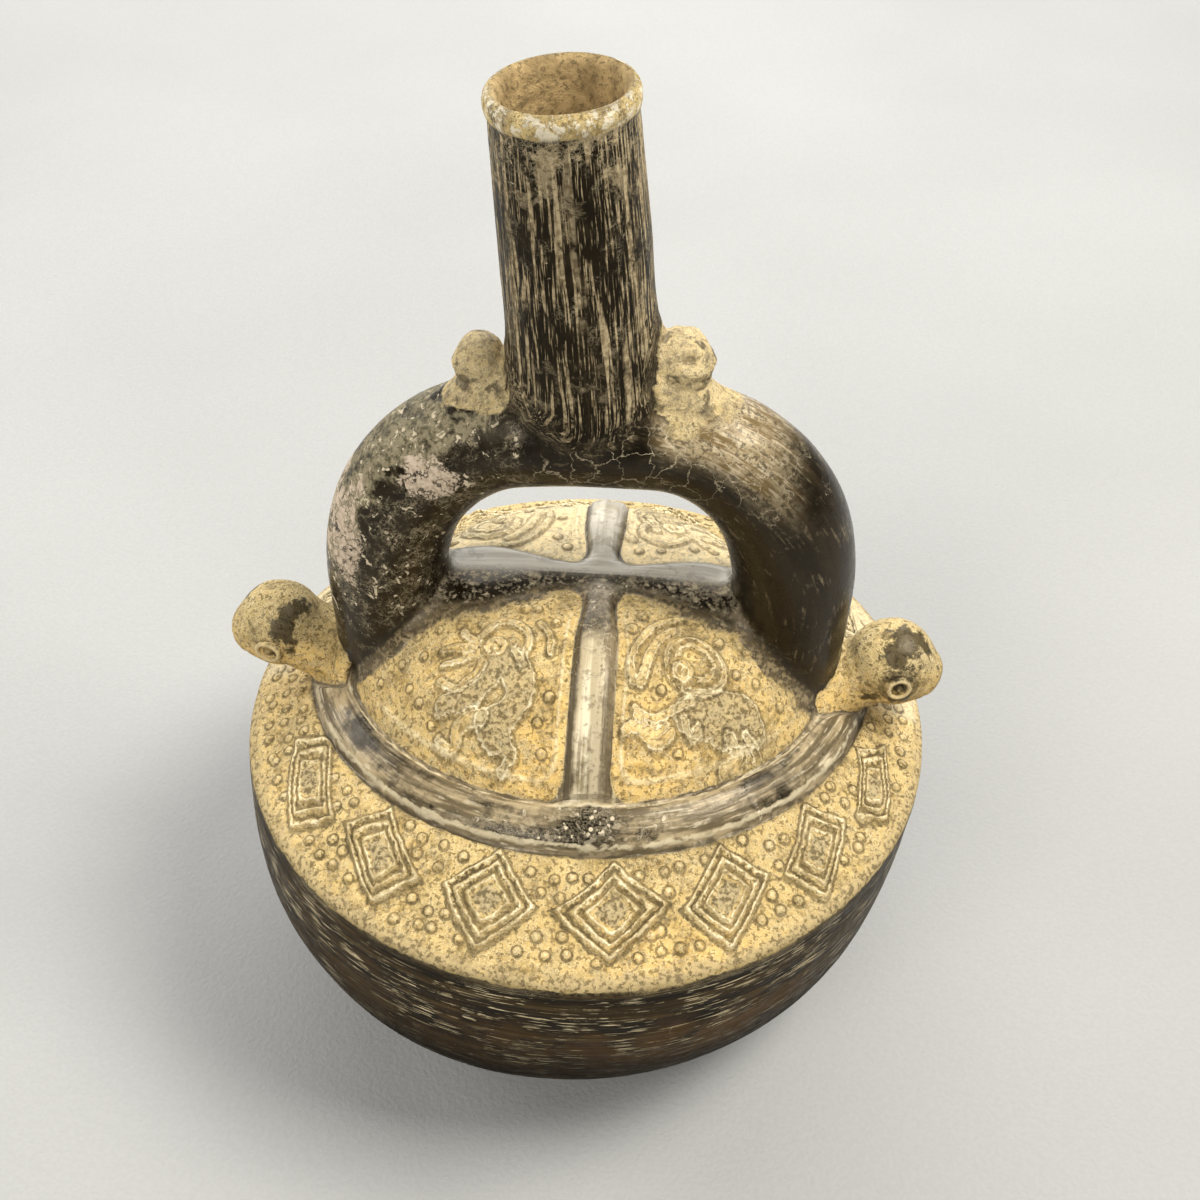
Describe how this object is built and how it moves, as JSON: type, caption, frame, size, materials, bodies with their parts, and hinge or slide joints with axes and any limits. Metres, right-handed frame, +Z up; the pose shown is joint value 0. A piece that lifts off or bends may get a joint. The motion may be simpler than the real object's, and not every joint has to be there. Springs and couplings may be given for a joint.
{
  "type": "stirrup spout vessel",
  "caption": "Hollow blackware bottle with a deep round bowl, a ring of stepped lozenges on its shoulder, a tubular stirrup handle and one tall spout.",
  "frame": {"origin": "middle of the flat spot on the underside, where the vessel stands", "axes": "+Z up along the vessel's height; the front, with the fuller set of lozenges, faces -Y; the two animal heads look along -X and +X"},
  "size_m": [0.1544, 0.1518, 0.2179],
  "materials": {
    "blackware": "burnished black with tan soil in the relief"
  },
  "bodies": {
    "root": {"vessel": "blackware"}
  },
  "joints": []
}
